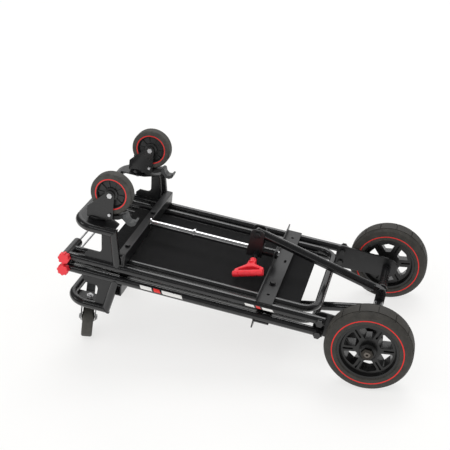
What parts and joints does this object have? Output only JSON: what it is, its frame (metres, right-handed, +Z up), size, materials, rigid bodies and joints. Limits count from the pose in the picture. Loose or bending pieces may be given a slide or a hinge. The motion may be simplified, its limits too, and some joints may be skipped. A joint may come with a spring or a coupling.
{
  "type": "folding platform cart",
  "caption": "Folded hand cart: two hinged tube frames with felt decks, two large spoked wheels, swivel casters, brace struts on guide rods and red pull rings.",
  "frame": {"origin": "middle of the footprint, on the floor", "axes": "+X towards the big wheels, +Y across the cart away from the pull rings, +Z up"},
  "size_m": [1.0669, 0.6376, 0.58],
  "materials": {
    "black_plate": "satin",
    "black_tube": "gloss",
    "chrome_rod": "polished",
    "felt_board": "matt felt cover",
    "pedal_plastic": "satin",
    "red_plastic": "satin",
    "soft_tread": "matt",
    "steel": "zinc plated",
    "tyre": "matt",
    "wheel_plastic": "satin"
  },
  "bodies": {
    "carrier": {"side_plates": "black_plate", "carrier_bolts": "black_tube", "axle_tube": "black_tube", "clevis_plates": "black_plate", "axle_bar": "steel", "wheel_nuts": "steel"},
    "near_wheel": {"near_rim": "wheel_plastic", "near_tyre": "tyre"},
    "far_wheel": {"far_rim": "wheel_plastic", "far_tyre": "tyre"},
    "upper_frame": {"upper_rails": "black_tube", "upper_handle": "black_tube", "upper_hubs": "black_tube", "upper_hoop": "black_tube", "upper_bracket_plates": "black_plate", "upper_deck_panel": "felt_board", "upper_crossbar": "black_plate", "upper_cross_plate": "black_plate", "upper_guide_rod": "chrome_rod", "upper_rod_sleeve": "black_tube"},
    "upper_clamp": {"upper_knobs": "red_plastic", "upper_spindle": "steel"},
    "upper_slide_block": {"upper_slider": "black_plate", "upper_slider_bolt": "black_tube"},
    "upper_brace": {"upper_strut": "black_tube"},
    "upper_pull": {"upper_pull_grip": "red_plastic", "upper_pull_pin": "steel"},
    "upper_near_caster": {"upper_near_fork": "black_plate"},
    "upper_near_roller": {"upper_near_core": "wheel_plastic", "upper_near_tyre": "soft_tread"},
    "upper_near_brake": {"upper_near_pedal": "pedal_plastic"},
    "upper_far_caster": {"upper_far_fork": "black_plate"},
    "upper_far_roller": {"upper_far_core": "wheel_plastic", "upper_far_tyre": "soft_tread"},
    "upper_far_brake": {"upper_far_pedal": "pedal_plastic"},
    "lower_frame": {"lower_rails": "black_tube", "lower_handle": "black_tube", "lower_hubs": "black_tube", "lower_hoop": "black_tube", "lower_bracket_plates": "black_plate", "lower_deck_panel": "felt_board", "lower_crossbar": "black_plate", "lower_cross_plate": "black_plate", "lower_guide_rod": "chrome_rod", "lower_rod_sleeve": "black_tube"},
    "lower_clamp": {"lower_knobs": "red_plastic", "lower_spindle": "steel"},
    "lower_slide_block": {"lower_slider": "black_plate", "lower_slider_bolt": "black_tube"},
    "lower_brace": {"lower_strut": "black_tube"},
    "lower_pull": {"lower_pull_grip": "red_plastic", "lower_pull_pin": "steel"},
    "lower_near_caster": {"lower_near_fork": "black_plate"},
    "lower_near_roller": {"lower_near_core": "wheel_plastic", "lower_near_tyre": "soft_tread"},
    "lower_near_brake": {"lower_near_pedal": "pedal_plastic"},
    "lower_far_caster": {"lower_far_fork": "black_plate"},
    "lower_far_roller": {"lower_far_core": "wheel_plastic", "lower_far_tyre": "soft_tread"},
    "lower_far_brake": {"lower_far_pedal": "pedal_plastic"}
  },
  "joints": [
    {"name": "near_wheel_spin", "type": "hinge", "parent": "carrier", "child": "near_wheel", "pos_m": [0.40489, -0.271, 0.127], "axis": [0, 1, 0], "continuous": true},
    {"name": "far_wheel_spin", "type": "hinge", "parent": "carrier", "child": "far_wheel", "pos_m": [0.40489, 0.271, 0.127], "axis": [0, 1, 0], "continuous": true},
    {"name": "upper_fold", "type": "hinge", "parent": "carrier", "child": "upper_frame", "pos_m": [0.26093, 0, 0.17545], "axis": [0, 1, 0], "range_deg": [0, 90]},
    {"name": "upper_block_slide", "type": "slide", "parent": "upper_frame", "child": "upper_slide_block", "axis": [-0.9813, 0, 0.1927], "range_m": [0, 0.17154]},
    {"name": "upper_brace_turn", "type": "hinge", "parent": "upper_slide_block", "child": "upper_brace", "pos_m": [0.03293, 0, 0.32947], "axis": [0, -1, 0], "range_deg": [0, 19.24]},
    {"name": "upper_pull_release", "type": "slide", "parent": "upper_slide_block", "child": "upper_pull", "axis": [-0.0268, -0.9903, -0.1366], "range_m": [0, 0.01], "stiffness_N_per_m": 1500, "springref_m": -0.004},
    {"name": "upper_clamp_turn", "type": "hinge", "parent": "upper_frame", "child": "upper_clamp", "pos_m": [-0.50387, 0, 0.32564], "axis": [0, 1, 0], "continuous": true},
    {"name": "upper_near_swivel", "type": "hinge", "parent": "upper_frame", "child": "upper_near_caster", "pos_m": [-0.41336, -0.186, 0.43363], "axis": [0.1927, 0, 0.9813], "continuous": true},
    {"name": "upper_near_roll", "type": "hinge", "parent": "upper_near_caster", "child": "upper_near_roller", "pos_m": [-0.35734, -0.186, 0.51648], "axis": [0, 1, 0], "continuous": true},
    {"name": "upper_near_brake_press", "type": "hinge", "parent": "upper_near_caster", "child": "upper_near_brake", "pos_m": [-0.3626, -0.186, 0.44302], "axis": [0, -1, 0], "range_deg": [0, 8]},
    {"name": "upper_far_swivel", "type": "hinge", "parent": "upper_frame", "child": "upper_far_caster", "pos_m": [-0.41336, 0.186, 0.43363], "axis": [0.1927, 0, 0.9813], "continuous": true},
    {"name": "upper_far_roll", "type": "hinge", "parent": "upper_far_caster", "child": "upper_far_roller", "pos_m": [-0.35734, 0.186, 0.51648], "axis": [0, 1, 0], "continuous": true},
    {"name": "upper_far_brake_press", "type": "hinge", "parent": "upper_far_caster", "child": "upper_far_brake", "pos_m": [-0.3626, 0.186, 0.44302], "axis": [0, -1, 0], "range_deg": [0, 8]},
    {"name": "lower_fold", "type": "hinge", "parent": "carrier", "child": "lower_frame", "pos_m": [0.25329, 0, 0.13659], "axis": [0, -1, 0], "range_deg": [0, 90]},
    {"name": "lower_block_slide", "type": "slide", "parent": "lower_frame", "child": "lower_slide_block", "axis": [-0.9813, 0, 0.1927], "range_m": [0, 0.17154]},
    {"name": "lower_brace_turn", "type": "hinge", "parent": "lower_slide_block", "child": "lower_brace", "pos_m": [-0.01601, 0, 0.08023], "axis": [0, 1, 0], "range_deg": [0, 19.24]},
    {"name": "lower_pull_release", "type": "slide", "parent": "lower_slide_block", "child": "lower_pull", "axis": [0.0268, -0.9903, 0.1366], "range_m": [0, 0.01], "stiffness_N_per_m": 1500, "springref_m": -0.004},
    {"name": "lower_clamp_turn", "type": "hinge", "parent": "lower_frame", "child": "lower_clamp", "pos_m": [-0.5115, 0, 0.28678], "axis": [0, 1, 0], "continuous": true},
    {"name": "lower_near_swivel", "type": "hinge", "parent": "lower_frame", "child": "lower_near_caster", "pos_m": [-0.46855, -0.186, 0.15259], "axis": [-0.1927, 0, -0.9813], "continuous": true},
    {"name": "lower_near_roll", "type": "hinge", "parent": "lower_near_caster", "child": "lower_near_roller", "pos_m": [-0.49812, -0.14891, 0.06454], "axis": [0.9332, 0.309, -0.1833], "continuous": true},
    {"name": "lower_near_brake_press", "type": "hinge", "parent": "lower_near_caster", "child": "lower_near_brake", "pos_m": [-0.48677, -0.14035, 0.13681], "axis": [-0.9332, -0.309, 0.1833], "range_deg": [0, 8]},
    {"name": "lower_far_swivel", "type": "hinge", "parent": "lower_frame", "child": "lower_far_caster", "pos_m": [-0.46855, 0.186, 0.15259], "axis": [-0.1927, 0, -0.9813], "continuous": true},
    {"name": "lower_far_roll", "type": "hinge", "parent": "lower_far_caster", "child": "lower_far_roller", "pos_m": [-0.49812, 0.14891, 0.06454], "axis": [-0.9332, 0.309, 0.1833], "continuous": true},
    {"name": "lower_far_brake_press", "type": "hinge", "parent": "lower_far_caster", "child": "lower_far_brake", "pos_m": [-0.48677, 0.14035, 0.13681], "axis": [0.9332, -0.309, -0.1833], "range_deg": [0, 8]}
  ],
  "couplings": [
    {"joint": "upper_block_slide", "follows": "upper_fold", "m_per_rad": 0.10921},
    {"joint": "upper_brace_turn", "follows": "upper_fold", "ratio": 0.21372},
    {"joint": "lower_block_slide", "follows": "lower_fold", "m_per_rad": 0.10921},
    {"joint": "lower_brace_turn", "follows": "lower_fold", "ratio": 0.21372}
  ]
}
